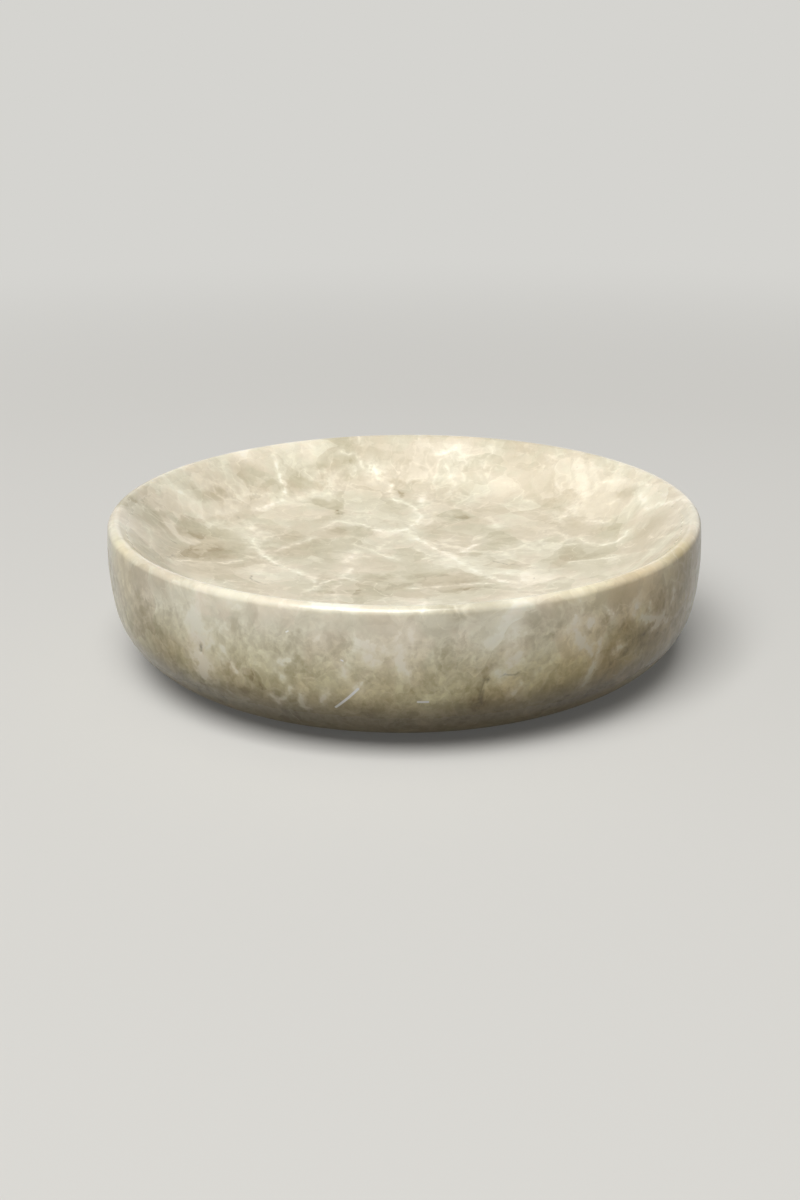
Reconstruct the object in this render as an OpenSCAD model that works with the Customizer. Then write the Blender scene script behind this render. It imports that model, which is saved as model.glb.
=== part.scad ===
// Round soap dish turned from one piece of stone, on four clear bumper feet.
// Each foot is held to the flat underside by its own disc of adhesive.
// The origin is the centre of the dish on the surface it stands on, with +Z up.

/* [Dish] */
// Diameter across the widest part of the wall
dish_d = 120; // [110:1:160]
// Height of the stone from its flat underside to the crest of the rim
stone_h = 28.5; // [26:0.5:36]
// Thickness of the rounded rim
rim_t = 3; // [2:0.1:4.6]
// How far the widest part of the wall lies below the crest of the rim
widest_drop = 7.2; // [5:0.1:9]
// Radius of the wall's barrelled curve
wall_r = 54; // [42:1:90]
// Radius of the corner where the wall turns under the dish
corner_r = 15; // [9:0.5:18]

/* [Bowl] */
// Depth of the bowl from the crest of the rim to its lowest place
bowl_depth = 13; // [10:0.5:17]
// Lean of the bowl's wall from upright, in degrees
bowl_lean = 48; // [36:1:56]
// Radius of the curve between the bowl's wall and its floor
bowl_corner_r = 11; // [6:0.5:18]
// Radius of the shallow curve of the bowl's floor
floor_r = 360; // [300:10:900]

/* [Feet] */
// Diameter of a bumper foot
foot_d = 8; // [6:0.5:12]
// Thickness of a bumper foot
foot_t = 1; // [0.8:0.1:3]
// Radius of the rounded edge under a foot
foot_edge_r = 0.5; // [0.2:0.1:0.7]
// Bare stone between a foot and the edge of the flat underside
foot_inset = 6; // [2:0.5:12]

/* [Adhesive] */
// Diameter of an adhesive disc
adhesive_d = 7.4; // [5:0.1:8]
// Thickness of an adhesive disc
adhesive_t = 0.2; // [0.1:0.05:0.6]

/* [Hidden] */
$fn = 240;

// Each arc of an outline turns by at most this many degrees a step, in at least this many steps
step_angle = 9;
least_steps = 6;

// Heights above the surface that the dish stands on
base_z = foot_t + adhesive_t;
crest_z = base_z + stone_h;
widest_z = crest_z - widest_drop;
floor_z = crest_z - bowl_depth;

// Wall: its arc is centred level with the widest part
wall_c = [dish_d / 2 - wall_r, widest_z];

// Rim: a full round whose arc runs on from the wall's
rim_r = rim_t / 2;
rim_lean = asin((widest_drop - rim_r) / (wall_r - rim_r));
rim_c = on_arc(wall_c, wall_r - rim_r, rim_lean);

// Corner: its arc runs on from the wall's and ends flat on the underside
corner_turn = asin((stone_h - widest_drop - corner_r) / (wall_r - corner_r));
corner_c = on_arc(wall_c, wall_r - corner_r, -corner_turn);

// Bowl: a straight wall off the rim, a corner arc and a shallow floor arc, each running on from the last
floor_c = [0, floor_z + floor_r];
off_rim = rim_c[0] * cos(bowl_lean) + (floor_c[1] - rim_c[1]) * sin(bowl_lean);
floor_turn = asin((off_rim - rim_r - bowl_corner_r) / (floor_r - bowl_corner_r)) - bowl_lean;
bowl_corner_c = on_arc(floor_c, floor_r - bowl_corner_r, floor_turn - 90);

// Feet: on a circle inside the edge of the flat underside
underside_r = corner_c[0];
foot_circle_r = underside_r - foot_inset - foot_d / 2;

// The point of an arc at an angle from +X
function on_arc(centre, r, angle) = centre + r * [cos(angle), sin(angle)];

// Points along an arc after its first one, which the outline before it already holds
function arc_on(centre, r, from, to) =
    let (steps = max(least_steps, ceil(abs(to - from) / step_angle)))
    [for (i = [1 : steps]) on_arc(centre, r, from + (to - from) * i / steps)];

// Half section of the dish, with the turning axis at X = 0
module dish_section() {
    polygon(concat(
        [[0, base_z], [underside_r, base_z]],
        arc_on(corner_c, corner_r, -90, -corner_turn),
        arc_on(wall_c, wall_r, -corner_turn, rim_lean),
        arc_on(rim_c, rim_r, rim_lean, 180 - bowl_lean),
        [on_arc(bowl_corner_c, bowl_corner_r, -bowl_lean)],
        arc_on(bowl_corner_c, bowl_corner_r, -bowl_lean, floor_turn - 90),
        arc_on(floor_c, floor_r, floor_turn - 90, -90)
    ));
}

module stone_dish() {
    color([0.80, 0.76, 0.66])
        rotate_extrude() dish_section();
}

// Puts its children under the dish, with side -1 for left and 1 for right, and depth -1 for front and 1 for back
module at_foot(side, depth) {
    rotate(atan2(depth, side)) translate([foot_circle_r, 0, 0]) children();
}

// A moulded button with a flat underside and a rounded lower edge
module foot() {
    edge_c = [foot_d / 2 - foot_edge_r, foot_edge_r];
    color([0.88, 0.90, 0.90, 0.6])
        rotate_extrude() polygon(concat(
            [[0, 0], [edge_c[0], 0]],
            arc_on(edge_c, foot_edge_r, -90, 0),
            [[foot_d / 2, foot_t], [0, foot_t]]
        ));
}

module adhesive() {
    color([0.93, 0.92, 0.86, 0.7])
        translate([0, 0, foot_t]) cylinder(d = adhesive_d, h = adhesive_t);
}

module foot_front_left() { at_foot(-1, -1) foot(); }
module foot_front_right() { at_foot(1, -1) foot(); }
module foot_back_left() { at_foot(-1, 1) foot(); }
module foot_back_right() { at_foot(1, 1) foot(); }

module adhesive_front_left() { at_foot(-1, -1) adhesive(); }
module adhesive_front_right() { at_foot(1, -1) adhesive(); }
module adhesive_back_left() { at_foot(-1, 1) adhesive(); }
module adhesive_back_right() { at_foot(1, 1) adhesive(); }

stone_dish();
foot_front_left();
foot_front_right();
foot_back_left();
foot_back_right();
adhesive_front_left();
adhesive_front_right();
adhesive_back_left();
adhesive_back_right();
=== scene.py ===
import math

import bmesh
import bpy
from mathutils import Matrix, Vector, noise
from mathutils.bvhtree import BVHTree


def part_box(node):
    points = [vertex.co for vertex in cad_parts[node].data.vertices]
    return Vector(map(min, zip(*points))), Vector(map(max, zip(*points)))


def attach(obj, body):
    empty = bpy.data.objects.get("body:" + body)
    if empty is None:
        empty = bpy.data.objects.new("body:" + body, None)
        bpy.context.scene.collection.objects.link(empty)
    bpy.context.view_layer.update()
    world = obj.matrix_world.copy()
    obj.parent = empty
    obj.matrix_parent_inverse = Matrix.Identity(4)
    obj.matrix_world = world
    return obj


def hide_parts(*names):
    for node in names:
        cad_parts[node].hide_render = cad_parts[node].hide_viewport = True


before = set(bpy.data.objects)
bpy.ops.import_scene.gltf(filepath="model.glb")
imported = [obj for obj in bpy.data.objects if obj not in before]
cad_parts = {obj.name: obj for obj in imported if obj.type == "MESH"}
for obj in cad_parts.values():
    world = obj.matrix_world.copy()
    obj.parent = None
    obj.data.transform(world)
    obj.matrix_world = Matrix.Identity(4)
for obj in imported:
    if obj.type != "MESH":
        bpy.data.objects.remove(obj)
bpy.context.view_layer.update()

mm = 0.001


def srgb(red, green, blue):
    # screen values 0-255 to the linear values that sockets take
    def channel(v):
        v = v / 255
        return v / 12.92 if v <= 0.04045 else ((v + 0.055) / 1.055) ** 2.4
    return (channel(red), channel(green), channel(blue), 1)


# camera, fitted to the dish's outline in the photograph
cameraSettings = {
    "lens": 45,                            # mm
    "sensor": 36,                          # mm along the long side
    "place": (-0.95, -293.6, 118.5),       # mm
    "tiltDown": 20.45,                     # degrees
    "roll": -0.42,
    "photoWidth": 800,                     # the photograph's own pixels
    "photoHeight": 1200,
}


def makeCamera(s):
    data = bpy.data.cameras.new("photoCamera")
    data.sensor_fit = "VERTICAL"
    data.sensor_width = data.sensor_height = s["sensor"]
    data.lens = s["lens"]
    data.clip_start = 0.01
    data.clip_end = 20
    camera = bpy.data.objects.new("photoCamera", data)
    bpy.context.collection.objects.link(camera)
    tilt = Matrix.Rotation(math.radians(90 - s["tiltDown"]), 4, "X")
    turn = tilt @ Matrix.Rotation(math.radians(s["roll"]), 4, "Z")
    camera.matrix_world = Matrix.Translation(Vector(s["place"]) * mm) @ turn
    bpy.context.scene.camera = camera
    return camera


camera = makeCamera(cameraSettings)
print("camera placed")

# node helpers


def feed(tree, socket, value):
    # links another node's output, or sets a plain value
    if isinstance(value, bpy.types.NodeSocket):
        tree.links.new(value, socket)
    else:
        socket.default_value = value


def newNode(tree, kind, **inputs):
    # settings are given by attribute name, sockets as in0, in1 or by name with _ for a space
    made = tree.nodes.new(kind)
    for key, value in inputs.items():
        if hasattr(made, key):
            setattr(made, key, value)
        elif key[:2] == "in" and key[2:].isdigit():
            feed(tree, made.inputs[int(key[2:])], value)
        else:
            feed(tree, made.inputs[key.replace("_", " ")], value)
    return made


def maths(tree, operation, *values):
    made = newNode(tree, "ShaderNodeMath", operation=operation)
    for socket, value in zip(made.inputs, values):
        feed(tree, socket, value)
    return made.outputs[0]


def vectorMaths(tree, operation, *values):
    made = newNode(tree, "ShaderNodeVectorMath", operation=operation)
    for i, value in enumerate(values):
        feed(tree, made.inputs["Scale"] if operation == "SCALE" and i == 1 else made.inputs[i], value)
    plain = operation in ("LENGTH", "DOT_PRODUCT", "DISTANCE")
    return made.outputs["Value" if plain else "Vector"]


def smoothStep(tree, value, low, high):
    # 0 at low, 1 at high
    made = newNode(
        tree, "ShaderNodeMapRange", interpolation_type="SMOOTHSTEP", in0=value, in1=low, in2=high)
    return made.outputs["Result"]


def under(tree, value, top, blend):
    # 0 above top, 1 once it is as far below as blend
    return smoothStep(tree, value, top, top - blend)


def clamped(tree, value):
    return newNode(tree, "ShaderNodeClamp", Value=value).outputs[0]


def blendColours(tree, share, first, second, mode="MIX"):
    made = newNode(tree, "ShaderNodeMix", data_type="RGBA", blend_type=mode)
    for socket, value in zip((made.inputs[0], made.inputs[6], made.inputs[7]), (share, first, second)):
        feed(tree, socket, value)
    return made.outputs[2]


def seenPale(tree):
    # 1 for what the camera sees, straight, mirrored or through something clear
    path = newNode(tree, "ShaderNodeLightPath").outputs
    indirect = maths(tree, "MAXIMUM", path["Is Glossy Ray"], path["Is Transmission Ray"])
    return maths(tree, "MAXIMUM", path["Is Camera Ray"], indirect)


def newMaterial(name):
    made = bpy.data.materials.new(name)
    made.use_nodes = True
    made.node_tree.nodes.clear()
    return made, made.node_tree


# stone dish: the turned shape of the CAD node, finer, with the slight waver of hand polishing
stoneLow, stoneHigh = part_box("stone_dish")
dishShape = {
    "wallRadius": 54,          # mm
    "cornerRadius": 15,
    "widestDrop": 7.2,
    "rimThickness": 3,
    "bowlDepth": 13,
    "bowlLean": 48,            # degrees
    "bowlCornerRadius": 11,
    "floorRadius": 360,
    "stepsRound": 256,
    "stepsUnder": 12,
    "stepsCorner": 26,
    "stepsWall": 16,
    "stepsRim": 16,
    "stepsBowlWall": 3,
    "stepsBowlCorner": 20,
    "stepsFloor": 26,
    "waver": 0.05,             # mm, how far polishing wanders off the turned shape
    "waverSize": 22,           # mm across one swell
    "flatUnder": 0.5,          # mm above the underside, below which nothing wavers
}


def onArc(centre, radius, angle):
    return Vector((centre[0] + radius * math.cos(angle), centre[1] + radius * math.sin(angle)))


def alongArc(centre, radius, start, end, steps):
    return [onArc(centre, radius, start + (end - start) * i / steps) for i in range(1, steps + 1)]


def dishOutline(s):
    # half section in mm, from the middle of the underside round the rim to the middle of the bowl
    base, crest = stoneLow.z / mm, stoneHigh.z / mm
    widest = (stoneHigh.x - stoneLow.x) / 2 / mm
    rim = s["rimThickness"] / 2
    lean = math.radians(s["bowlLean"])
    wall = Vector((widest - s["wallRadius"], crest - s["widestDrop"]))
    rimLean = math.asin((s["widestDrop"] - rim) / (s["wallRadius"] - rim))
    rimCentre = onArc(wall, s["wallRadius"] - rim, rimLean)
    lowReach = s["wallRadius"] - s["cornerRadius"]
    turn = math.asin((crest - base - s["widestDrop"] - s["cornerRadius"]) / lowReach)
    corner = onArc(wall, lowReach, -turn)
    floor = Vector((0, crest - s["bowlDepth"] + s["floorRadius"]))
    inner = s["floorRadius"] - s["bowlCornerRadius"]
    offWall = rimCentre.x * math.cos(lean) + (floor.y - rimCentre.y) * math.sin(lean)
    floorTurn = math.asin((offWall - rim - s["bowlCornerRadius"]) / inner) - lean
    bowlCorner = onArc(floor, inner, floorTurn - math.pi / 2)
    points = [Vector((corner.x * i / s["stepsUnder"], base)) for i in range(s["stepsUnder"] + 1)]
    points += alongArc(corner, s["cornerRadius"], -math.pi / 2, -turn, s["stepsCorner"])
    points += alongArc(wall, s["wallRadius"], -turn, rimLean, s["stepsWall"])
    points += alongArc(rimCentre, rim, rimLean, math.pi - lean, s["stepsRim"])
    start, end = points[-1], onArc(bowlCorner, s["bowlCornerRadius"], -lean)
    points += [start.lerp(end, (i + 1) / s["stepsBowlWall"]) for i in range(s["stepsBowlWall"])]
    points += alongArc(
        bowlCorner, s["bowlCornerRadius"], -lean, floorTurn - math.pi / 2, s["stepsBowlCorner"])
    points += alongArc(floor, s["floorRadius"], floorTurn - math.pi / 2, -math.pi / 2, s["stepsFloor"])
    return points


def spinOutline(outline, steps, middle=(0, 0)):
    # a closed solid from half a section in mm, turned about a vertical axis through middle
    bm = bmesh.new()
    verts = [bm.verts.new((middle[0] + p.x * mm, middle[1], p.y * mm)) for p in outline]
    edges = [bm.edges.new(pair) for pair in zip(verts, verts[1:])]
    bmesh.ops.spin(
        bm, geom=verts + edges, cent=(*middle, 0), axis=(0, 0, 1), angle=2 * math.pi,
        steps=steps, use_merge=True)
    bmesh.ops.remove_doubles(bm, verts=bm.verts, dist=0.001 * mm)
    bmesh.ops.recalc_face_normals(bm, faces=bm.faces)
    bm.normal_update()
    return bm


def makePiece(name, bm):
    mesh = bpy.data.meshes.new(name)
    for face in bm.faces:
        face.smooth = True
    bm.to_mesh(mesh)
    bm.free()
    piece = bpy.data.objects.new(name, mesh)
    bpy.context.collection.objects.link(piece)
    return piece


def makeStoneDish(s):
    bm = spinOutline(dishOutline(s), s["stepsRound"])
    for v in bm.verts:
        if v.co.z > stoneLow.z + s["flatUnder"] * mm:
            swell = noise.noise(v.co / (s["waverSize"] * mm))
            v.co -= v.normal * (0.5 + 0.5 * swell) * s["waver"] * mm
    tree = BVHTree.FromBMesh(bm)
    return makePiece("stoneDish", bm), tree


stoneDish, stoneSurface = makeStoneDish(dishShape)
print("stone dish spun:", len(stoneDish.data.polygons), "faces")


def onStone(x, y):
    # where the photograph's pixel x, y falls on the stone, in mm
    s = cameraSettings
    focal = s["lens"] / s["sensor"] * s["photoHeight"]
    inCamera = Vector((x - s["photoWidth"] / 2, s["photoHeight"] / 2 - y, -focal))
    aim = camera.matrix_world.to_3x3() @ inCamera
    hit = stoneSurface.ray_cast(camera.matrix_world.translation, aim.normalized())[0]
    return None if hit is None else hit / mm


# marble: a cloudy limestone, once broken and healed, as one solid pattern through the whole block
marble = {
    # tones from the darkest clouds to the whitest crystal, and where each lies on the scale of tone
    "umber": (150, 136, 106),
    "taupe": (190, 181, 157),
    "beige": (211, 203, 183),
    "pale": (222, 215, 196),
    "cream": (236, 230, 212),
    "crystal": (247, 243, 230),
    "scale": (
        (0.0, "umber"), (0.24, "taupe"), (0.5, "beige"), (0.64, "pale"), (0.84, "cream"), (1.0, "crystal")),
    "white": (254, 253, 248),      # the white of the painted glints
    "crack": (84, 72, 50),
    # tints that the tones are multiplied by
    "tan": (1.015, 0.992, 0.97, 1),
    "olive": (0.99, 1.004, 0.98, 1),
    "warm": (1.03, 1.0, 0.77, 1),
    "brown": (1.11, 1.0, 0.76, 1),
    "stain": (0.56, 0.52, 0.43, 1),    # painted shade, darker and browner towards the foot
    # how far noise bends and tears what is drawn from the photograph, each size and reach in mm
    "bendSize": 9,
    "bendReach": 2,
    "fraySize": 1.8,
    "frayReach": 2,
    "tornSize": 3.6,
    "tornReach": 3.8,
    # the bed round it: slow folds, and ragged edges where it was broken
    "foldSize": 22,
    "foldReach": 6,
    "tearSize": 3.4,
    "tearReach": 3,
    # each layer's size in mm, and how far it moves the tone, of the whole scale
    "cloudSize": 13,
    "cloudShare": 0.55,
    "clastSize": 9,                # the large broken pieces
    "clastShare": 0.23,
    "chipSize": 3.6,
    "chipShare": 0.1,
    "milkSize": 5,                 # milky patches with torn edges
    "milkShare": 0.1,
    "milkEdge": (0.56, 0.6),
    "milkAlong": 0.2,              # how much they keep to the veins and the pale beds
    "mottleSize": 2.6,
    "mottleShare": 0.19,
    "grainSize": 0.5,
    "grainShare": 0.1,
    "smudgeSize": 1.6,             # only on the outer wall
    "smudgeShare": 0.3,
    "smudgeEdge": (0.38, 0.66),
    "smudgeBend": 3,               # mm, both the size and the reach of the noise that bends them
    "smudgeStretch": (1, 1, 0.8),
    "hueSize": 9,
    "hueEdge": (0.4, 0.6),
    "clastHue": 0.16,
    # the outer wall, which cuts the bed across and shows more of it
    "wallTop": 27,                 # mm above the counter
    "wallBlend": 4,
    "wallPieces": 0.9,             # how much stronger the pieces are there
    "wallVeins": 0.9,
    "wallPale": 0.1,
    # painted warm shade, warmer towards the bottom of the outer wall
    "wallWarmShade": 0.9,
    "warmShadeBlend": 14,
    # painted shade over the foot, from this height down
    "shadeTop": 14,                # mm above the counter
    "shadeBlend": 12,
    # milky seams between the pieces, long healed cracks, and where all these break off
    "presenceSize": 14,
    "presenceEdge": (0.42, 0.66),
    "seamWidth": 0.07,             # share of a piece's size
    "seamStrength": 0.5,
    "chipSeamWidth": 0.1,
    "chipSeamStrength": 0.3,
    "wispSize": 12,
    "wispWidth": 0.012,            # share of the noise's range that a healed crack takes up
    "wispLeast": 0.001,
    "wispStrength": 0.4,
    "veinPatches": (2.6, -0.3),    # slope and start of the veins' strength over the mottle
    "gapSize": 1.4,
    "gapEdge": (0.38, 0.56),
    "gapShare": 0.45,
    "gapLeast": 0.6,
    "placedStrength": 1.2,
    "veinTone": 0.95,
    "veinBare": 0.7,               # how much less of a tint a vein takes
    # cracks, and painted glints
    "crackStrength": 0.55,
    "crackEdge": (0.25, 1.0),
    "glintEdge": (0.4, 0.7),
    "sunk": ("outerPit", "fissure", "frontCrack"),
    "pitDepth": 0.12,              # mm
    # polish
    "roughness": 0.22,
    "polish": 0.12,                # how far the roughness wanders
    "bowlRoughness": 0.2,          # how much less polished the bowl is inside
    "rimRadius": 58,               # mm, where the bowl ends
    "rimBlend": 6,
    "honedBelow": 10,              # mm, where the polish gives way to the honed underside
    "honedBlend": 5,
    "honedRoughness": 0.22,
    # light that goes into the stone and comes out near by
    "glow": 0.25,
    "glowReach": 1.5,              # mm
    "glowColour": (1.0, 0.85, 0.62),
}

# What the photograph shows, in its own pixels. Each entry is a strength, a half width in mm and the places
# that it runs through.
paleVeins = {
    "leftRim": (0.8, 0.6, (164, 476), (170, 483), (177, 490), (186, 495), (194, 499)),
    "backLeft": (0.95, 0.32, (273, 450), (276, 460), (278, 468), (280, 477), (283, 485), (284, 493)),
    "backLeftTurn": (0.8, 0.4, (284, 493), (280, 502), (269, 507), (259, 510)),
    "backLeftLedge": (0.5, 0.5, (245, 493), (264, 494), (284, 496)),
    "leftLedge": (0.5, 0.7, (297, 498), (315, 493), (329, 494)),
    "leftLong": (0.75, 0.75, (248, 524), (257, 533), (254, 538), (256, 547), (263, 555), (271, 561)),
    "leftLongEnd": (0.7, 0.45, (271, 561), (283, 566), (297, 573), (312, 578), (320, 588)),
    "leftSpur": (0.5, 0.35, (274, 551), (285, 547), (298, 543), (311, 538)),
    "leftThread": (0.6, 0.22, (169, 559), (189, 560), (208, 562), (229, 563), (243, 561)),
    "leftNick": (0.5, 0.3, (148, 530), (153, 538), (149, 547)),
    "leftEndNick": (0.5, 0.3, (128, 547), (132, 540)),
    "leftCrumb": (0.6, 0.35, (259, 575), (264, 565)),
    "backArch": (0.5, 0.4, (342, 451), (353, 454), (361, 458), (364, 467)),
    "backCrumb": (0.85, 0.7, (375, 469), (379, 476)),
    "hook": (0.85, 0.35, (390, 485), (390, 492), (394, 500), (402, 502), (411, 505), (421, 516)),
    "wedge": (0.7, 0.8, (424, 496), (426, 506)),
    "backThread": (0.75, 0.35, (446, 466), (449, 475), (454, 485)),
    "backGlint": (0.8, 0.6, (440, 454), (457, 448)),
    "middleLeft": (0.7, 0.4, (325, 528), (336, 522), (359, 524), (373, 528)),
    "junction": (0.95, 0.6, (374, 530), (384, 532), (406, 530), (416, 523), (422, 516)),
    "crossing": (0.85, 0.5, (406, 530), (415, 537), (426, 544), (437, 549), (451, 556)),
    "crossingKnot": (0.95, 0.8, (446, 554), (454, 559), (459, 564)),
    "crossingEnd": (0.65, 0.65, (459, 564), (468, 566), (477, 572), (488, 576), (499, 580), (516, 583)),
    "frontThread": (0.6, 0.35, (356, 545), (366, 548), (376, 551), (387, 556), (398, 560)),
    "frontSpur": (0.5, 0.3, (376, 551), (383, 546), (390, 541)),
    "glint": (0.95, 0.4, (463, 551), (469, 548), (474, 545)),
    "frontStroke": (0.75, 0.5, (348, 562), (352, 557), (356, 552)),
    "frontStrokeLow": (0.65, 0.5, (342, 577), (346, 572), (350, 568)),
    "frontArc": (0.65, 0.3, (314, 589), (320, 584), (328, 580), (342, 577), (353, 579)),
    "frontRun": (0.55, 0.3, (412, 588), (440, 587), (468, 584), (496, 583)),
    "rightBandFoot": (0.6, 1.0, (584, 488), (582, 500), (572, 511), (560, 518)),
    "rightBandTwin": (0.55, 0.6, (596, 452), (596, 470), (596, 488)),
    "rightShelf": (0.6, 0.5, (602, 482), (625, 479), (650, 483)),
    "rightBlot": (0.75, 0.7, (642, 491), (644, 502)),
    "rightTick": (0.5, 0.4, (606, 503), (619, 500)),
    "rightRim": (0.7, 0.5, (643, 509), (658, 504), (672, 501), (687, 500)),
    "rightThread": (0.6, 0.3, (585, 521), (613, 521)),
    "rightBow": (0.7, 0.35, (579, 538), (588, 542), (602, 545), (616, 542), (627, 533)),
    "rightWallLow": (0.55, 0.35, (648, 538), (665, 535), (684, 532)),
    "rightWallHigh": (0.55, 0.35, (665, 530), (672, 524), (687, 523)),
    "rightEdge": (0.55, 0.2, (570, 563), (595, 559), (623, 555), (644, 551), (671, 545)),
    "rightNet": (0.7, 0.6, (497, 573), (512, 572), (520, 577), (531, 583), (545, 579)),
    "rightNetSpur": (0.6, 0.5, (520, 577), (524, 568), (530, 566)),
    "rightCrumbs": (0.6, 0.5, (487, 518), (491, 520), (498, 527)),
    "outerLeftSmear": (0.65, 1.0, (194, 592), (194, 608), (197, 628), (198, 640)),
    "outerLeftBlob": (0.9, 0.8, (197, 655), (201, 662), (204, 672)),
    "outerLeftDrip": (0.65, 0.35, (225, 649), (229, 661), (236, 672)),
    "outerLeftRise": (0.55, 0.35, (203, 639), (211, 632), (220, 623)),
    "outerLeftTick": (0.5, 0.35, (206, 648), (214, 642)),
    "outerRing": (0.7, 0.35, (294, 660), (280, 663), (276, 669), (283, 677)),
    "outerHook": (0.65, 0.3, (300, 694), (302, 705), (310, 708)),
    "outerFork": (0.6, 0.35, (273, 696), (279, 701), (291, 690)),
    "outerArch": (0.5, 0.45, (319, 642), (320, 629), (328, 621)),
    "outerSwirl": (0.75, 0.4, (367, 646), (374, 653), (366, 656)),
    "outerBranch": (0.5, 0.4, (383, 649), (378, 656), (373, 663)),
    "outerChain": (0.6, 0.5, (397, 645), (398, 657), (404, 666), (407, 671)),
    "outerStroke": (0.6, 0.4, (342, 674), (346, 668)),
    "outerSlant": (0.6, 0.35, (356, 687), (361, 681), (367, 675)),
    "outerSlantLow": (0.55, 0.35, (327, 692), (322, 702)),
    # painted highlight on the front rim, drawn as a pale vein
    "rimGlint": (1.0, 0.7, (316, 603), (348, 606)),
    "rimCrossing": (0.9, 0.8, (424, 603), (422, 612)),
    "rimCrossingTail": (0.65, 0.5, (422, 612), (415, 622), (408, 634)),
    "outerPuff": (0.7, 0.7, (489, 646), (494, 641), (499, 638)),
    "outerPuffLow": (0.6, 0.8, (502, 671), (510, 663), (518, 655)),
    "outerRightThread": (0.7, 0.3, (576, 599), (580, 604), (583, 611)),
    "outerRightLong": (0.75, 0.45, (576, 615), (575, 627), (580, 639), (588, 647), (592, 655)),
    "outerRightDash": (0.9, 0.3, (591, 620), (593, 624)),
    "outerRightArc": (0.5, 0.35, (604, 605), (611, 614), (613, 625)),
    "outerRightTick": (0.8, 0.3, (639, 601), (635, 612)),
    "outerRightRise": (0.65, 0.35, (651, 604), (651, 613), (642, 617)),
    "outerRightGlint": (0.9, 0.3, (674, 592), (673, 600)),
    "outerRightFork": (0.9, 0.35, (667, 611), (661, 619), (654, 627)),
    "outerRightForkArm": (0.75, 0.35, (645, 617), (658, 619), (667, 621)),
    "outerRightLow": (0.55, 0.4, (621, 645), (614, 654)),
    "outerRightTail": (0.55, 0.5, (602, 640), (598, 655), (592, 668), (581, 688)),
    "outerRightFoot": (0.5, 0.5, (520, 686), (514, 696)),
    "limbLine": (0.6, 0.3, (692, 568), (692, 583)),
}

# painted glints, white highlight streaks drawn into the colour, which lie straight
paintedGlints = {
    "streak": (1.0, 0.17, (358, 689), (348, 698), (336, 707)),
    "spark": (1.0, 0.16, (418, 702), (428, 702)),
    "lowGlint": (0.9, 0.1, (341, 660), (343, 661)),
    "leftGlint": (0.9, 0.1, (286, 632), (288, 631)),
}

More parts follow.
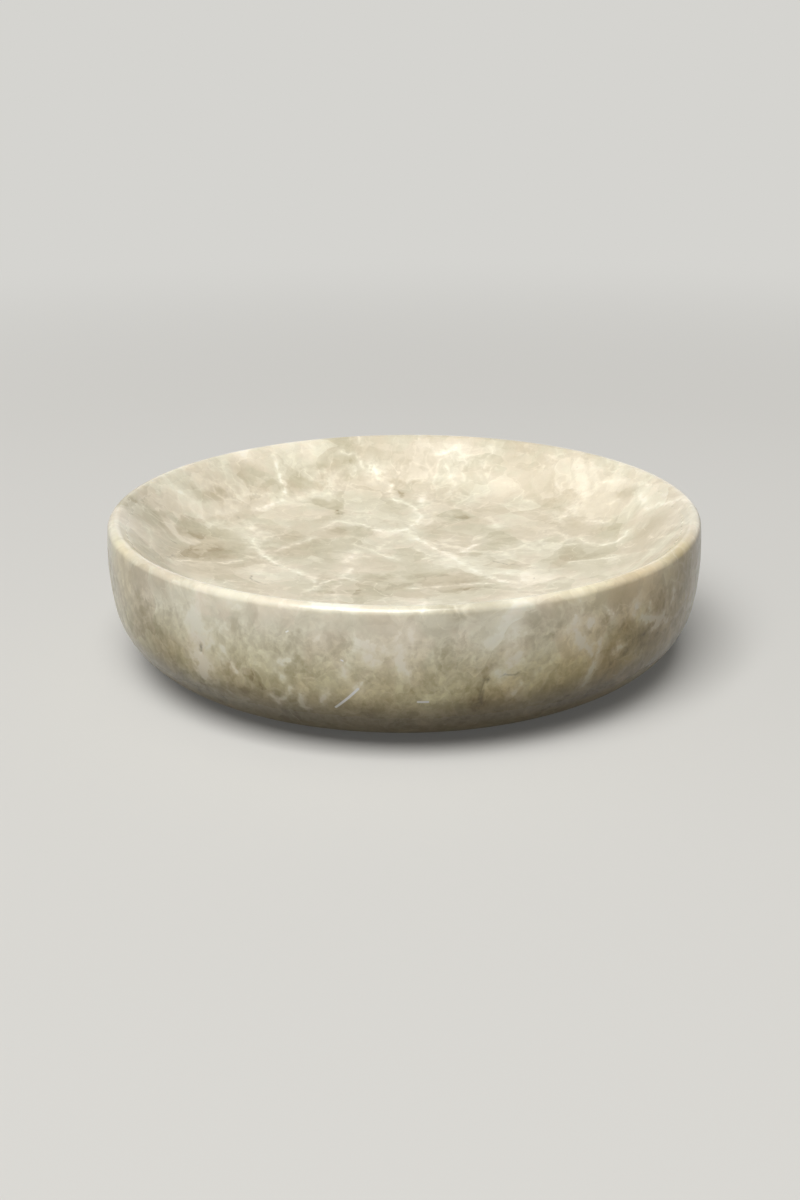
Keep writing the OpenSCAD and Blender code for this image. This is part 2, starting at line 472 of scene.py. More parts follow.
# clouds that are paler or, with a strength below nought, darker than what lies round them
clouds = {
    "leftPuff": (0.20, 2.8, (200, 509), (228, 507)),
    "leftBlobs": (0.24, 1.5, (170, 524), (174, 531), (180, 538), (192, 541)),
    "leftHalo": (0.08, 3.4, (250, 530), (266, 541)),
    "ledgeHalo": (0.14, 3.0, (300, 501), (322, 497)),
    "backGlow": (-0.08, 5.5, (436, 452), (520, 450)),
    "backRightGlow": (0.05, 5.0, (560, 458), (612, 466)),
    "netHalo": (0.14, 3.0, (508, 574), (542, 578)),
    "frontHalo": (0.10, 2.5, (345, 556), (372, 553)),
    "leftWallGlow": (0.14, 4.0, (180, 472), (236, 455)),
    "olivePocket": (-0.09, 1.6, (181, 526), (190, 521)),
    "leftSlab": (-0.13, 3.2, (200, 533), (220, 534)),
    "leftBand": (-0.08, 3.0, (168, 553), (195, 554), (222, 553)),
    "leftLow": (-0.12, 3.0, (200, 570), (232, 577)),
    "leftSmudge": (-0.20, 1.8, (199, 495), (219, 494)),
    "leftWallShade": (-0.12, 2.2, (236, 464), (247, 465)),
    "leftEndShade": (-0.22, 4.0, (130, 505), (150, 515)),
    "backSpot": (-0.16, 2.0, (301, 471), (314, 470)),
    "swirlHeart": (-0.14, 1.3, (319, 502), (323, 503)),
    "archHeart": (-0.10, 2.6, (328, 465), (346, 461)),
    "middleSpot": (-0.26, 1.1, (338, 512), (342, 513)),
    "middleSlab": (-0.18, 3.4, (346, 530), (362, 531)),
    "hookStreak": (-0.28, 0.6, (399, 487), (402, 496)),
    "wedgeShade": (-0.18, 1.5, (444, 516), (463, 518)),
    "crossingShade": (-0.16, 1.2, (433, 543), (442, 549), (460, 553), (479, 555)),
    "frontBrown": (-0.15, 1.6, (412, 577), (438, 575)),
    "frontLeftBrown": (-0.16, 1.5, (325, 592), (354, 592)),
    "frontShade": (-0.14, 2.0, (370, 576), (386, 577)),
    "frontRunShade": (-0.11, 1.0, (430, 592), (462, 590), (494, 588)),
    "rightOlive": (-0.14, 2.0, (622, 491), (636, 490)),
    "bowHeart": (-0.10, 3.0, (600, 532), (620, 531)),
    "rightShade": (-0.05, 3.0, (545, 545), (566, 549)),
    "outerLeftOlive": (-0.14, 2.0, (216, 668), (232, 669)),
    "outerLeftGrey": (-0.14, 1.3, (249, 609), (249, 628)),
    "outerLeftGreyTwin": (-0.14, 1.0, (234, 615), (234, 632)),
    "ringHeart": (-0.20, 2.0, (286, 668), (298, 667)),
    "outerPale": (0.14, 3.0, (412, 640), (428, 650)),
    "outerBrown": (-0.18, 3.2, (455, 652), (476, 660)),
    "outerOlive": (-0.20, 1.5, (359, 671), (362, 678)),
    "outerLowShade": (-0.18, 1.8, (415, 685), (432, 685)),
    "outerRightPale": (0.16, 3.0, (566, 648), (584, 650)),
    "outerRightHaze": (0.14, 4.0, (516, 616), (517, 645)),
    "rimBrown": (-0.2, 1.9, (434, 606), (460, 606), (498, 604)),
    "rimTan": (-0.12, 1.9, (125, 562), (158, 578), (196, 591)),
    # painted highlight where the front rim catches the light
    "rimHighlightPeak": (0.08, 1.9, (225, 597), (300, 604), (396, 608)),
    "backLeftPale": (0.2, 7.0, (262, 448), (300, 446)),
    "backMiddleTan": (-0.05, 6.0, (420, 448), (470, 450)),
    "backPale": (0.08, 7.0, (480, 470), (540, 472)),
    "backTan": (-0.06, 7.0, (345, 470), (400, 468)),
    "leftTan": (-0.16, 8.0, (200, 560), (285, 546)),
    "rightTan": (-0.12, 8.0, (580, 560), (640, 545)),
    "outerUpperPale": (0.14, 4.0, (205, 618), (255, 624)),
    "outerMiddlePale": (0.08, 4.0, (330, 640), (360, 634)),
    "outerRightGrey": (-0.14, 1.6, (530, 620), (539, 622)),
    "outerRightBrown": (-0.16, 3.0, (605, 640), (628, 636)),
    "outerRightDark": (-0.16, 2.6, (645, 640), (655, 632)),
}

# broad beds, with broad painted shade and painted highlight, whose edges stay soft
beds = {
    "tanBowl": (-0.09, 34, (330, 520), (470, 520)),
    "tanFront": (-0.16, 9, (330, 590), (400, 594), (470, 590)),
    "rimBand": (0.14, 2.4, (514, 598), (515, 612), (514, 630), (513, 662)),
    # painted highlight along the front rim
    "frontRimHighlight": (
        0.1, 3, (130, 555), (200, 585), (300, 604), (400, 609), (500, 604), (600, 585), (660, 560)),
    "milkyBack": (0.03, 9, (560, 450), (640, 480)),
    "rightBand": (0.16, 1.3, (580, 444), (579, 460), (579, 475), (581, 490)),
    # painted shade: darker along the foot and up the lower sides
    "darkFoot": (-0.16, 6, (215, 700), (300, 722), (400, 731), (500, 724), (590, 700)),
    "paintedShadeLeft": (-0.28, 6, (170, 660), (220, 692), (290, 712)),
    "paintedShadeRight": (-0.2, 6, (490, 706), (570, 690), (630, 655), (665, 620), (684, 588)),
}

# beds that are yellower or browner than the rest, with painted warm shade and painted shade low on the outer
# wall
warmBedsAndShade = {
    # painted warm shade along the foot
    "warmFoot": (0.9, 7, (190, 680), (300, 712), (400, 720), (500, 714), (610, 680)),
    "warmLeft": (0.5, 6, (118, 560), (130, 610), (170, 655)),
}
brownBeds = {
    "brownRight": (0.9, 8, (640, 650), (672, 612), (686, 580)),
    "brownWall": (0.4, 8, (590, 640), (640, 610)),
    "brownLow": (0.4, 6, (500, 704), (580, 684), (630, 655)),
    "brownRim": (0.22, 3, (560, 598), (600, 592), (655, 576), (684, 548)),
}
# painted shade low on the outer wall
shadeBeds = {
    "footShadeLeft": (0.65, 6, (150, 645), (215, 690), (285, 704), (350, 718)),
    "footShadeRight": (0.7, 6, (480, 718), (560, 702), (620, 668), (666, 618), (685, 588)),
}

# thin dark cracks and pits, which are sunk a little too
cracks = {
    "leftCrack": (0.8, 0.16, (166, 556), (178, 556), (189, 557)),
    "backNick": (0.7, 0.3, (206, 471), (207, 476)),
    "frontCrack": (0.8, 0.22, (250, 576), (254, 581), (266, 585)),
    "leftTick": (0.7, 0.22, (172, 541), (177, 544)),
    "rightCrack": (0.8, 0.2, (492, 561), (503, 563), (517, 565)),
    "rightTickMark": (0.9, 0.15, (532, 580), (535, 577), (538, 575)),
    "bandEdge": (0.6, 0.2, (577, 450), (577, 464), (576, 478)),
    "middlePit": (0.6, 0.4, (340, 514), (341, 515)),
    "leftPit": (0.6, 0.35, (236, 516), (240, 518)),
    "outerPit": (1.0, 0.34, (200, 647), (201, 651)),
    "fissure": (1.2, 0.26, (485, 681), (482, 690), (480, 697), (478, 706)),
    "outerCrack": (0.7, 0.25, (502, 675), (511, 675), (520, 674)),
    "rimNick": (0.4, 0.2, (201, 589), (201, 602)),
    "outerRightPit": (0.7, 0.28, (642, 633), (646, 631)),
    "limbCrack": (0.5, 0.22, (689, 567), (689, 582)),
}


def newGroup(name, given, result):
    # given and result: sockets by name, True for a vector
    group = bpy.data.node_groups.new(name, "ShaderNodeTree")
    for inOut, sockets in (("INPUT", given), ("OUTPUT", result)):
        for socket, isVector in sockets.items():
            kind = "NodeSocketVector" if isVector else "NodeSocketFloat"
            group.interface.new_socket(socket, in_out=inOut, socket_type=kind)
    return group, newNode(group, "NodeGroupInput").outputs


def makeNearLine():
    # how many widths a point lies from a stretch of line, or the value before where that is less
    vectors = dict.fromkeys(("Point", "From", "Reach"), True)
    values = dict.fromkeys(("Per Length", "Width", "Before"), False)
    group, given = newGroup("nearLine", vectors | values, {"Nearest": False})
    away = vectorMaths(group, "SUBTRACT", given["Point"], given["From"])
    along = vectorMaths(group, "DOT_PRODUCT", away, given["Reach"])
    share = clamped(group, maths(group, "MULTIPLY", along, given["Per Length"]))
    foot = vectorMaths(group, "SCALE", given["Reach"], share)
    widths = maths(group, "DIVIDE", vectorMaths(group, "DISTANCE", away, foot), given["Width"])
    newNode(group, "NodeGroupOutput", Nearest=maths(group, "MINIMUM", widths, given["Before"]))
    return group


nearLine = makeNearLine()
drawnLines = {}
veinShape = {"line": 0.6, "halo": 0.4, "haloFall": 0.1}


def makeDrawnLine(kind, count):
    # a vein, cloud or bed along so many stretches, laid over what came before
    given = {"Point": True} | dict.fromkeys(("Width", "Strength", "Before"), False)
    for i in range(count):
        given |= {f"From {i}": True, f"Reach {i}": True, f"Per Length {i}": False}
    group, given = newGroup(f"{kind}{count}", given, {"After": False})
    nearest = 99.0
    for i in range(count):
        nearest = newNode(
            group, "ShaderNodeGroup", node_tree=nearLine, Point=given["Point"], From=given[f"From {i}"],
            Reach=given[f"Reach {i}"], Per_Length=given[f"Per Length {i}"], Width=given["Width"],
            Before=nearest).outputs[0]
    square = maths(group, "MULTIPLY", nearest, nearest)
    if kind == "vein":
        # a bright line with a soft halo
        line = maths(group, "DIVIDE", veinShape["line"], maths(group, "ADD", square, 1.0))
        halo = maths(group, "MULTIPLY_ADD", square, veinShape["haloFall"], 1.0)
        halo = maths(group, "DIVIDE", veinShape["halo"], halo)
        drawn = maths(group, "MULTIPLY", given["Strength"], maths(group, "ADD", line, halo))
        after = maths(group, "MAXIMUM", given["Before"], drawn)
    else:
        # flat in its middle, summed with the others, and a bed is softer at its edge than a cloud
        edge = square if kind == "bed" else maths(group, "MULTIPLY", square, square)
        drawn = maths(group, "DIVIDE", given["Strength"], maths(group, "MULTIPLY_ADD", edge, edge, 1.0))
        after = maths(group, "ADD", given["Before"], drawn)
    newNode(group, "NodeGroupOutput", After=after)
    return group


def drawLines(tree, point, kind, lines):
    # every line of a dictionary, with its pixels brought onto the stone
    total = 0.0
    for strength, width, *pixels in lines.values():
        places = [place for place in (onStone(*pixel) for pixel in pixels) if place]
        stretches = list(zip(places, places[1:]))
        key = (kind, len(stretches))
        if key not in drawnLines:
            drawnLines[key] = makeDrawnLine(*key)
        made = newNode(
            tree, "ShaderNodeGroup", node_tree=drawnLines[key], Point=point, Width=width,
            Strength=strength, Before=total)
        for i, (start, end) in enumerate(stretches):
            reach = end - start
            made.inputs[f"From {i}"].default_value = start
            made.inputs[f"Reach {i}"].default_value = reach
            made.inputs[f"Per Length {i}"].default_value = 1 / reach.length_squared
        total = made.outputs[0]
    return total


def noiseNode(tree, point, size, detail, roughness=0.5):
    return newNode(
        tree, "ShaderNodeTexNoise", Vector=point, Scale=1 / size, Detail=float(detail), Roughness=roughness)


def noiseAt(tree, point, size, detail, roughness=0.5):
    return noiseNode(tree, point, size, detail, roughness).outputs["Fac"]


def stir(tree, point, size, detail, reach):
    # moves each point by noise, so that what is drawn there bends
    colour = noiseNode(tree, point, size, detail).outputs["Color"]
    return vectorMaths(tree, "ADD", point, vectorMaths(
        tree, "SCALE", vectorMaths(tree, "SUBTRACT", colour, (0.5, 0.5, 0.5)), reach))


def shifted(tree, point, *by):
    # moves a noise along, so that two of them don't match
    return vectorMaths(tree, "ADD", point, by)


def centred(tree, value, share):
    # 0 to 1 becomes half of share below nought to half of it above
    return maths(tree, "MULTIPLY", maths(tree, "SUBTRACT", value, 0.5), share)


def ridge(tree, value, width):
    # thin lines where a noise crosses its middle
    off = maths(tree, "SUBTRACT", value, 0.5)
    square = maths(tree, "MULTIPLY", width, width)
    spread = maths(tree, "MULTIPLY_ADD", off, off, maths(tree, "ADD", square, 1e-7))      # never nought
    return maths(tree, "DIVIDE", square, spread)


def brokenPieces(tree, point, size):
    # a random tone and hue for each piece, and how far a point lies from the piece's edge
    cell = newNode(tree, "ShaderNodeTexVoronoi", Vector=point, Scale=1 / size)
    edge = newNode(
        tree, "ShaderNodeTexVoronoi", feature="DISTANCE_TO_EDGE", Vector=point, Scale=1 / size)
    parts = newNode(tree, "ShaderNodeSeparateColor", in0=cell.outputs["Color"]).outputs
    return {"tone": parts[0], "hue": parts[1], "edge": edge.outputs["Distance"]}


def seam(tree, edge, presence, width):
    # 1 on a piece's edge, falling softly away from it, and thinner where it is hardly present
    spread = maths(tree, "MULTIPLY_ADD", presence, width, 0.002)      # never nought
    away = maths(tree, "DIVIDE", edge, spread)
    return maths(tree, "DIVIDE", presence, maths(tree, "MULTIPLY_ADD", away, away, 1.0))


def placeFeatures(tree, s, point, onWall):
    # what the photograph shows
    bent = stir(tree, point, s["bendSize"], 1, s["bendReach"])
    bent = stir(tree, bent, s["fraySize"], 2.5, s["frayReach"])
    veins = drawLines(tree, bent, "vein", paleVeins)
    veins = maths(tree, "MULTIPLY", veins, maths(tree, "MULTIPLY_ADD", onWall, s["wallVeins"], 1.0))
    torn = stir(tree, point, s["tornSize"], 2.5, s["tornReach"])
    drawnBeds = drawLines(tree, bent, "bed", beds)
    drawnClouds = maths(tree, "ADD", drawLines(tree, torn, "cloud", clouds), drawnBeds)
    drawnCracks = drawLines(tree, bent, "vein", cracks)
    return {"torn": torn, "veins": veins, "beds": drawnBeds, "clouds": drawnClouds, "cracks": drawnCracks}


def mixTones(tree, s, point, onWall, placed):
    # ragged pieces of several tones, with clouds and milky patches through them
    folded = stir(tree, point, s["foldSize"], 2, s["foldReach"])
    ragged = stir(tree, folded, s["tearSize"], 2, s["tearReach"])
    cloud = noiseAt(tree, folded, s["cloudSize"], 5, 0.6)
    tone = maths(tree, "ADD", placed["clouds"], 0.5)
    tone = maths(tree, "ADD", tone, centred(tree, cloud, s["cloudShare"]))
    clast = brokenPieces(tree, ragged, s["clastSize"])
    chip = brokenPieces(tree, shifted(tree, ragged, 30, 0, 0), s["chipSize"])
    pieces = centred(tree, clast["tone"], s["clastShare"])
    pieces = maths(tree, "ADD", pieces, centred(tree, chip["tone"], s["chipShare"]))
    milk = noiseAt(tree, shifted(tree, ragged, 0, 60, 0), s["milkSize"], 3)
    milk = maths(tree, "MULTIPLY_ADD", placed["veins"], s["milkAlong"], milk)
    milk = maths(tree, "MULTIPLY_ADD", placed["beds"], s["milkAlong"], milk)
    pieces = maths(tree, "MULTIPLY_ADD", smoothStep(tree, milk, *s["milkEdge"]), s["milkShare"], pieces)
    mottle = noiseAt(tree, ragged, s["mottleSize"], 4, 0.55)
    pieces = maths(tree, "ADD", pieces, centred(tree, mottle, s["mottleShare"]))
    pieces = maths(tree, "MULTIPLY", pieces, maths(tree, "MULTIPLY_ADD", onWall, s["wallPieces"], 1.0))
    tone = maths(tree, "MULTIPLY_ADD", onWall, s["wallPale"], maths(tree, "ADD", tone, pieces))
    grain = noiseAt(tree, point, s["grainSize"], 2)
    tone = maths(tree, "ADD", tone, centred(tree, grain, s["grainShare"]))
    upright = stir(tree, point, s["smudgeBend"], 2, s["smudgeBend"])
    upright = vectorMaths(tree, "MULTIPLY", upright, s["smudgeStretch"])
    smudge = smoothStep(tree, noiseAt(tree, upright, s["smudgeSize"], 4, 0.6), *s["smudgeEdge"])
    tone = maths(tree, "MULTIPLY_ADD", centred(tree, smudge, s["smudgeShare"]), onWall, tone)
    return {"folded": folded, "ragged": ragged, "clast": clast, "chip": chip, "mottle": mottle, "tone": tone}


def healVeins(tree, s, point, bed, drawnVeins):
    # milky seams, healed cracks and the photograph's veins, patchy along their length
    presence = noiseAt(tree, shifted(tree, point, 40, 0, 0), s["presenceSize"], 2)
    presence = smoothStep(tree, presence, *s["presenceEdge"])
    seams = seam(tree, bed["clast"]["edge"], presence, s["seamWidth"])
    seams = maths(tree, "MULTIPLY", seams, s["seamStrength"])
    fineSeams = seam(tree, bed["chip"]["edge"], presence, s["chipSeamWidth"])
    seams = maths(tree, "MAXIMUM", seams, maths(tree, "MULTIPLY", fineSeams, s["chipSeamStrength"]))
    width = maths(tree, "MULTIPLY_ADD", presence, s["wispWidth"], s["wispLeast"])
    wisps = ridge(tree, noiseAt(tree, bed["ragged"], s["wispSize"], 1.5), width)
    healed = maths(tree, "MAXIMUM", seams, maths(tree, "MULTIPLY", wisps, s["wispStrength"]))
    patchy = maths(tree, "MULTIPLY_ADD", bed["mottle"], *s["veinPatches"])
    gaps = smoothStep(tree, noiseAt(tree, point, s["gapSize"], 3, 0.6), *s["gapEdge"])
    gaps = maths(tree, "MULTIPLY_ADD", gaps, s["gapShare"], s["gapLeast"])
    patchy = maths(tree, "MULTIPLY", patchy, gaps)
    drawn = maths(tree, "MULTIPLY", drawnVeins, s["placedStrength"])
    return clamped(tree, maths(tree, "MULTIPLY", maths(tree, "MAXIMUM", healed, drawn), patchy))


def toneScale(tree, s, tone):
    # the stone's own colours along the scale of tone
    ramp = newNode(tree, "ShaderNodeValToRGB", in0=tone)
    while len(ramp.color_ramp.elements) < len(s["scale"]):
        ramp.color_ramp.elements.new(0.5)
    for stop, (position, name) in zip(ramp.color_ramp.elements, s["scale"]):
        stop.position = position
        stop.color = srgb(*s[name])
    return ramp.outputs["Color"]


def tintBedAndShade(tree, s, height, outside, torn, bed, veins):
    # tan and olive pieces, then the warm and brown beds, painted warm shade and painted shade low on the
    # outer wall, which veins take less of, and last painted shade over the whole foot
    hue = noiseAt(tree, shifted(tree, bed["folded"], 0, 0, 50), s["hueSize"], 3)
    hue = maths(tree, "ADD", hue, centred(tree, bed["clast"]["hue"], s["clastHue"]))
    tint = blendColours(tree, smoothStep(tree, hue, *s["hueEdge"]), s["olive"], s["tan"])
    bare = maths(tree, "MULTIPLY_ADD", veins, -s["veinBare"], 1.0)
    for drawn, stain in ((warmBedsAndShade, "warm"), (brownBeds, "brown"), (shadeBeds, "stain")):
        share = clamped(tree, drawLines(tree, torn, "bed", drawn))
        # painted warm shade over the lower outer wall
        if stain == "warm":
            low = under(tree, height, s["wallTop"], s["warmShadeBlend"])
            share = maths(tree, "MAXIMUM", share, maths(tree, "MULTIPLY", low, s["wallWarmShade"]))
        share = maths(tree, "MULTIPLY", maths(tree, "MULTIPLY", share, outside), bare)
        tint = blendColours(tree, share, tint, s[stain], "MULTIPLY")
    # painted shade: darker and browner towards the bottom of the dish
    foot = under(tree, height, s["shadeTop"], s["shadeBlend"])
    return blendColours(tree, foot, tint, s["stain"], "MULTIPLY")


def polishStone(tree, s, height, inside, mottle):
    # a roughness that wanders, higher in the bowl and on the honed underside
    rough = maths(tree, "ADD", centred(tree, mottle, s["polish"]), s["roughness"])
    rough = maths(tree, "MULTIPLY_ADD", inside, s["bowlRoughness"], rough)
    honed = under(tree, height, s["honedBelow"], s["honedBlend"])
    return maths(tree, "MULTIPLY_ADD", honed, s["honedRoughness"], rough)


def makeMarble(s):
    made, tree = newMaterial("marble")
    place = newNode(tree, "ShaderNodeTexCoord").outputs["Object"]
    point = vectorMaths(tree, "SCALE", place, 1 / mm)
    height = newNode(tree, "ShaderNodeSeparateXYZ", in0=point).outputs[2]
    outwards = vectorMaths(tree, "LENGTH", vectorMaths(tree, "MULTIPLY", point, (1, 1, 0)))
    inside = under(tree, outwards, s["rimRadius"], s["rimBlend"])
    outside = maths(tree, "SUBTRACT", 1.0, inside)
    onWall = maths(tree, "MULTIPLY", outside, under(tree, height, s["wallTop"], s["wallBlend"]))
    placed = placeFeatures(tree, s, point, onWall)
    bed = mixTones(tree, s, point, onWall, placed)
    veins = healVeins(tree, s, point, bed, placed["veins"])
    lifted = newNode(tree, "ShaderNodeMix", in0=veins, in2=bed["tone"], in3=s["veinTone"]).outputs[0]
    colour = toneScale(tree, s, lifted)
    tint = tintBedAndShade(tree, s, height, outside, placed["torn"], bed, veins)
    colour = blendColours(tree, 1.0, colour, tint, "MULTIPLY")
    broken = smoothStep(tree, placed["cracks"], *s["crackEdge"])
    broken = maths(tree, "MULTIPLY", broken, s["crackStrength"])
    colour = blendColours(tree, broken, colour, srgb(*s["crack"]))
    # painted glints: white highlights laid over the colour
    clear = smoothStep(tree, drawLines(tree, point, "vein", paintedGlints), *s["glintEdge"])
    colour = blendColours(tree, clear, colour, srgb(*s["white"]))
    rough = polishStone(tree, s, height, inside, bed["mottle"])
    pits = drawLines(tree, point, "vein", {name: cracks[name] for name in s["sunk"]})
    sunk = newNode(
        tree, "ShaderNodeBump", invert=True, Strength=1.0, Distance=s["pitDepth"] * mm, Height=pits)
    shader = newNode(
        tree, "ShaderNodeBsdfPrincipled", Base_Color=colour, Roughness=rough, IOR=1.5,
        Normal=sunk.outputs["Normal"], Subsurface_Weight=s["glow"],
        Subsurface_Scale=s["glowReach"] * mm, Subsurface_Radius=s["glowColour"])
    newNode(tree, "ShaderNodeOutputMaterial", Surface=shader.outputs["BSDF"])
    return made


stoneDish.data.materials.append(makeMarble(marble))
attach(stoneDish, "root")
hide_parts("stone_dish")
print("marble made")

# feet: moulded buttons of clear rubber with a dimple under each, on discs of clear adhesive
footShape = {
    "edgeRadius": 0.5,         # mm
    "dimpleRadius": 1.4,
    "dimpleDepth": 0.15,
    "parting": 0.06,           # bevel where the mould parts, beside the adhesive
    "stepsDimple": 6,
    "stepsEdge": 8,
    "stepsRound": 72,
}
adhesiveShape = {
    "squeeze": 0.05,           # mm that its middle is squeezed out
    "wander": 0.05,            # mm that its edge wanders inwards
    "wanderSize": 1.1,
    "stepsRound": 72,
}
clearRubber = {
    "tone": (214, 217, 214),
    "dust": (196, 192, 180),
    "grainSize": 0.22,         # mm
    "grainDepth": 0.02,
    "roughness": 0.24,
    "dustRoughness": 0.35,     # added where dust lies
    "skinRoughness": 0.1,      # how far the uneven skin moves it
    "clear": 0.45,
}
clearAdhesive = {
    "tone": (226, 223, 209),
    "dust": (204, 198, 178),
    "grainSize": 0.55,         # mm
    "grainDepth": 0.03,
    "roughness": 0.16,
    "dustRoughness": 0.35,
    "skinRoughness": 0.1,
    "clear": 0.4,
}
grainShape = {
    "patchSize": 9,            # grains across
    "patchEdge": (0.42, 0.7),
    "speckSize": 2,
    "speckEdge": (0.5, 0.15),
}
corners = ("front_left", "front_right", "back_left", "back_right")


def makeGrain(s):
    # what handling leaves on clear plastic: cloudy patches of fine dust, and a faintly uneven skin
    given = {"Point": True, "Size": False}
    group, given = newGroup("handledGrain", given, {"Dust": False, "Skin": False})
    point = vectorMaths(group, "SCALE", given["Point"], maths(group, "DIVIDE", 1 / mm, given["Size"]))
    patches = smoothStep(group, noiseAt(group, point, s["patchSize"], 3), *s["patchEdge"])
    specks = newNode(group, "ShaderNodeTexVoronoi", Vector=point, Scale=1 / s["speckSize"])
    specks = smoothStep(group, specks.outputs["Distance"], *s["speckEdge"])
    dust = maths(group, "MULTIPLY", patches, specks)
    newNode(group, "NodeGroupOutput", Dust=dust, Skin=noiseAt(group, point, 1, 3))
    return group


handledGrain = makeGrain(grainShape)


def makeClear(name, s):
    made, tree = newMaterial(name)
    place = newNode(tree, "ShaderNodeTexCoord").outputs["Object"]
    grain = newNode(
        tree, "ShaderNodeGroup", node_tree=handledGrain, Point=place, Size=s["grainSize"]).outputs
    colour = blendColours(tree, grain["Dust"], srgb(*s["tone"]), srgb(*s["dust"]))
    rough = maths(tree, "MULTIPLY_ADD", grain["Dust"], s["dustRoughness"], s["roughness"])
    rough = maths(tree, "ADD", rough, centred(tree, grain["Skin"], s["skinRoughness"]))
    bump = newNode(
        tree, "ShaderNodeBump", Strength=0.6, Distance=s["grainDepth"] * mm, Height=grain["Skin"])
    shader = newNode(
        tree, "ShaderNodeBsdfPrincipled", Base_Color=colour, Roughness=rough, IOR=1.48,
        Transmission_Weight=s["clear"], Normal=bump.outputs["Normal"])
    newNode(tree, "ShaderNodeOutputMaterial", Surface=shader.outputs["BSDF"])
    return made


def footOutline(radius, low, high, s):
    edge = Vector((radius - s["edgeRadius"], low + s["edgeRadius"]))
    points = []
    for i in range(s["stepsDimple"] + 1):
        share = i / s["stepsDimple"]
        points.append(Vector((s["dimpleRadius"] * share, low + s["dimpleDepth"] * (1 - share ** 2))))
    points.append(Vector((edge.x, low)))
    points += alongArc(edge, s["edgeRadius"], -math.pi / 2, 0, s["stepsEdge"])
    top = ((radius, high - s["parting"]), (radius - s["parting"], high), (0, high))
    return points + [Vector(place) for place in top]


def adhesiveOutline(radius, low, high, s):
    inner = radius - s["squeeze"]
    places = ((0, low), (inner, low), (radius, (low + high) / 2), (inner, high), (0, high))
    return [Vector(place) for place in places]


def makeUnderDish(node, outline, s, material):
    low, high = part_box(node)
    middle = ((low.x + high.x) / 2, (low.y + high.y) / 2)
    radius = (high.x - low.x) / 2 / mm
    bm = spinOutline(outline(radius, low.z / mm, high.z / mm, s), s["stepsRound"], middle)
    for v in bm.verts:
        # the cut edge wanders inwards
        away = Vector((v.co.x - middle[0], v.co.y - middle[1]))
        if "wander" in s and away.length > 0.5 * radius * mm:
            swell = 0.5 + 0.5 * noise.noise(v.co / (s["wanderSize"] * mm))
            v.co.xy -= away.normalized() * swell * s["wander"] * mm
    words = node.split("_")
    piece = makePiece(words[0] + "".join(word.title() for word in words[1:]), bm)
    piece.data.materials.append(material)
    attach(piece, "root")
    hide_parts(node)


rubber = makeClear("clearRubber", clearRubber)
adhesive = makeClear("clearAdhesive", clearAdhesive)
for corner in corners:
    makeUnderDish("foot_" + corner, footOutline, footShape, rubber)
    makeUnderDish("adhesive_" + corner, adhesiveOutline, adhesiveShape, adhesive)
print("feet and adhesive made")

# floor and backdrop, pale to the camera and darker to the light that it bounces
stageSettings = {
    "width": 8,                # m
    "front": -3,
    "back": 3,
    "height": 3.5,
    "cove": 1.0,
    "coveSteps": 24,
    "pale": (206, 205, 201),
    "bounce": (66, 58, 45),
    "below": 0.03,             # mm under the feet, so that their faces don't fight with the floor's
    "even": (213, 212, 208),   # what the floor fades to, so that the light's fall-off doesn't show
    "evenFrom": 0.14,          # m from the dish's middle
    "evenTo": 0.6,
    "evenLeast": 0.1,
}


def makePale(s):
    # pale paint, which fades to one even colour away from the dish
    made, tree = newMaterial("paleStage")
    seen = seenPale(tree)
    colour = blendColours(tree, seen, srgb(*s["bounce"]), srgb(*s["pale"]))
    floor = newNode(tree, "ShaderNodeBsdfDiffuse", Color=colour)
    even = newNode(tree, "ShaderNodeEmission", Color=srgb(*s["even"]))
    away = vectorMaths(tree, "LENGTH", newNode(tree, "ShaderNodeTexCoord").outputs["Object"])
    share = maths(tree, "MAXIMUM", smoothStep(tree, away, s["evenFrom"], s["evenTo"]), s["evenLeast"])
    share = maths(tree, "MULTIPLY", seen, share)
    mixed = newNode(tree, "ShaderNodeMixShader", in0=share, in1=floor.outputs[0], in2=even.outputs[0])
    newNode(tree, "ShaderNodeOutputMaterial", Surface=mixed.outputs[0])
    return made


def makeStage(s):
    # a floor and a wall swept sideways, with the fold between them rounded
    bm = bmesh.new()
    level = -s["below"] * mm
    places = [(s["front"], level), (s["back"], level), (s["back"], s["height"])]
    verts = [bm.verts.new((-s["width"] / 2, y, z)) for y, z in places]
    edges = [bm.edges.new(pair) for pair in zip(verts, verts[1:])]
    sweep = bmesh.ops.extrude_edge_only(bm, edges=edges)["geom"]
    swept = [v for v in sweep if isinstance(v, bmesh.types.BMVert)]
    bmesh.ops.translate(bm, vec=(s["width"], 0, 0), verts=swept)
    fold = [e for e in bm.edges if all(abs(v.co.y - s["back"]) < mm and abs(v.co.z) < mm for v in e.verts)]
    bmesh.ops.bevel(
        bm, geom=fold, offset=s["cove"], segments=s["coveSteps"], affect="EDGES", profile=0.5, material=-1)
    bmesh.ops.recalc_face_normals(bm, faces=bm.faces)
    for face in bm.faces:
        face.smooth = True
        if face.normal.z < -0.5:
            face.normal_flip()
    mesh = bpy.data.meshes.new("paleStage")
    bm.to_mesh(mesh)
    bm.free()
    mesh.materials.append(makePale(s))
    piece = bpy.data.objects.new("paleStage", mesh)
    bpy.context.collection.objects.link(piece)


makeStage(stageSettings)

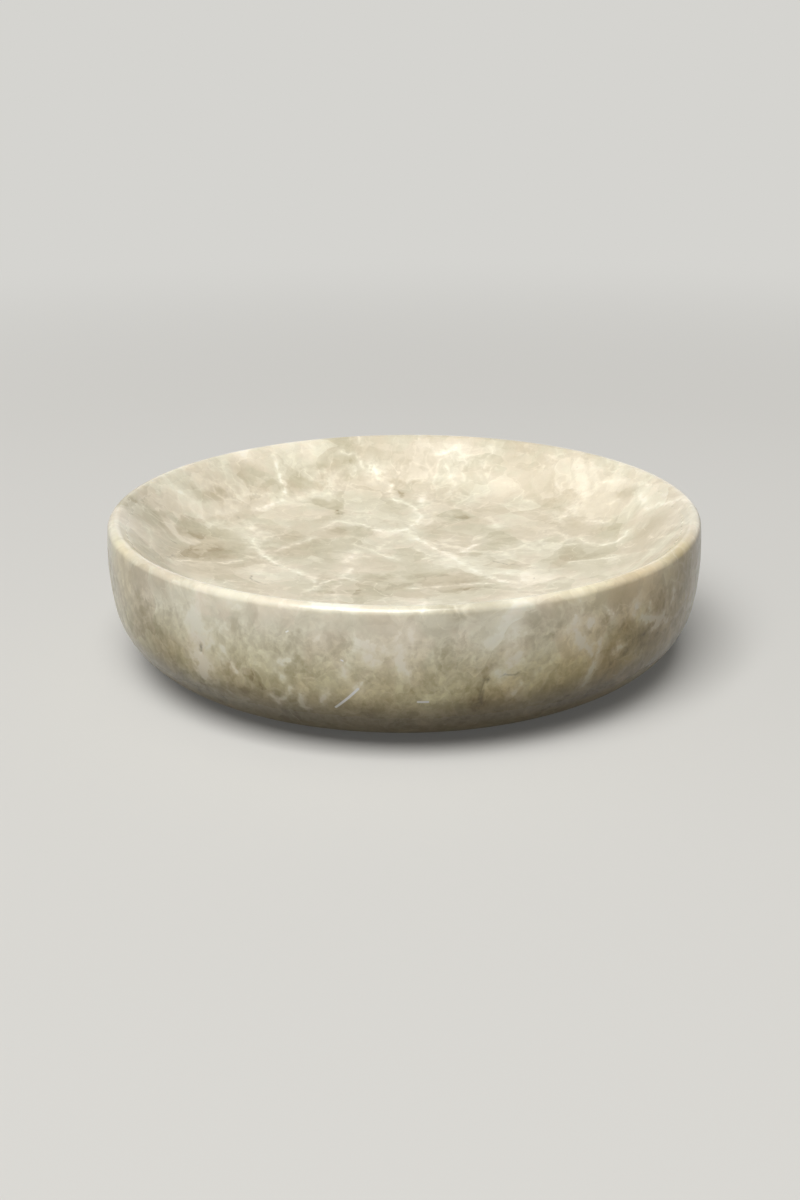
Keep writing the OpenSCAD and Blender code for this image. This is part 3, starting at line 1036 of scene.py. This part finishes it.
# soft lamps, each aimed at the dish: angles in degrees, lengths in m and power in watts
lamps = {
    "keyLamp": {
        "azimuth": -21, "elevation": 60, "away": 2.5, "width": 1.8, "height": 1.8, "power": 80,
        "colour": (1, 0.995, 0.99)},
    "sideLamp": {
        "azimuth": -90, "elevation": 10, "away": 2.5, "width": 1.8, "height": 1.8, "power": 5.5,
        "colour": (1, 0.98, 0.95)},
    "backFill": {
        "azimuth": 165, "elevation": 12, "away": 2.5, "width": 2.6, "height": 1.0, "power": 4.6,
        "colour": (1, 0.98, 0.95)},
}
worldLight = {
    "colour": (1.0, 0.98, 0.95, 1),
    "strength": 0.1,
    "seen": (213, 212, 208),   # what the camera sees beyond the stage
}


def makeLamp(name, s):
    # azimuth 0 is the viewer's side, and negative is to the left
    data = bpy.data.lights.new(name, "AREA")
    data.shape = "RECTANGLE"
    data.size = s["width"]
    data.size_y = s["height"]
    data.energy = s["power"]
    data.color = s["colour"]
    around, up = math.radians(s["azimuth"]), math.radians(s["elevation"])
    aim = Vector((0, 0, stoneLow.z + (stoneHigh.z - stoneLow.z) / 2))
    way = Vector((math.sin(around) * math.cos(up), -math.cos(around) * math.cos(up), math.sin(up)))
    lamp = bpy.data.objects.new(name, data)
    turn = way.to_track_quat("Z", "Y").to_matrix().to_4x4()
    lamp.matrix_world = Matrix.Translation(aim + way * s["away"]) @ turn
    bpy.context.collection.objects.link(lamp)


def makeWorld(s):
    world = bpy.data.worlds.new("studio")
    world.use_nodes = True
    tree = world.node_tree
    tree.nodes.clear()
    seen = seenPale(tree)
    light = newNode(tree, "ShaderNodeBackground", Color=s["colour"], Strength=s["strength"])
    pale = newNode(tree, "ShaderNodeBackground", Color=srgb(*s["seen"]), Strength=1.0)
    mixed = newNode(tree, "ShaderNodeMixShader", in0=seen, in1=light.outputs[0], in2=pale.outputs[0])
    newNode(tree, "ShaderNodeOutputWorld", Surface=mixed.outputs[0])
    bpy.context.scene.world = world


for name, settings in lamps.items():
    makeLamp(name, settings)
makeWorld(worldLight)
bpy.context.scene.view_settings.view_transform = "Standard"
print("stage and lamps made")
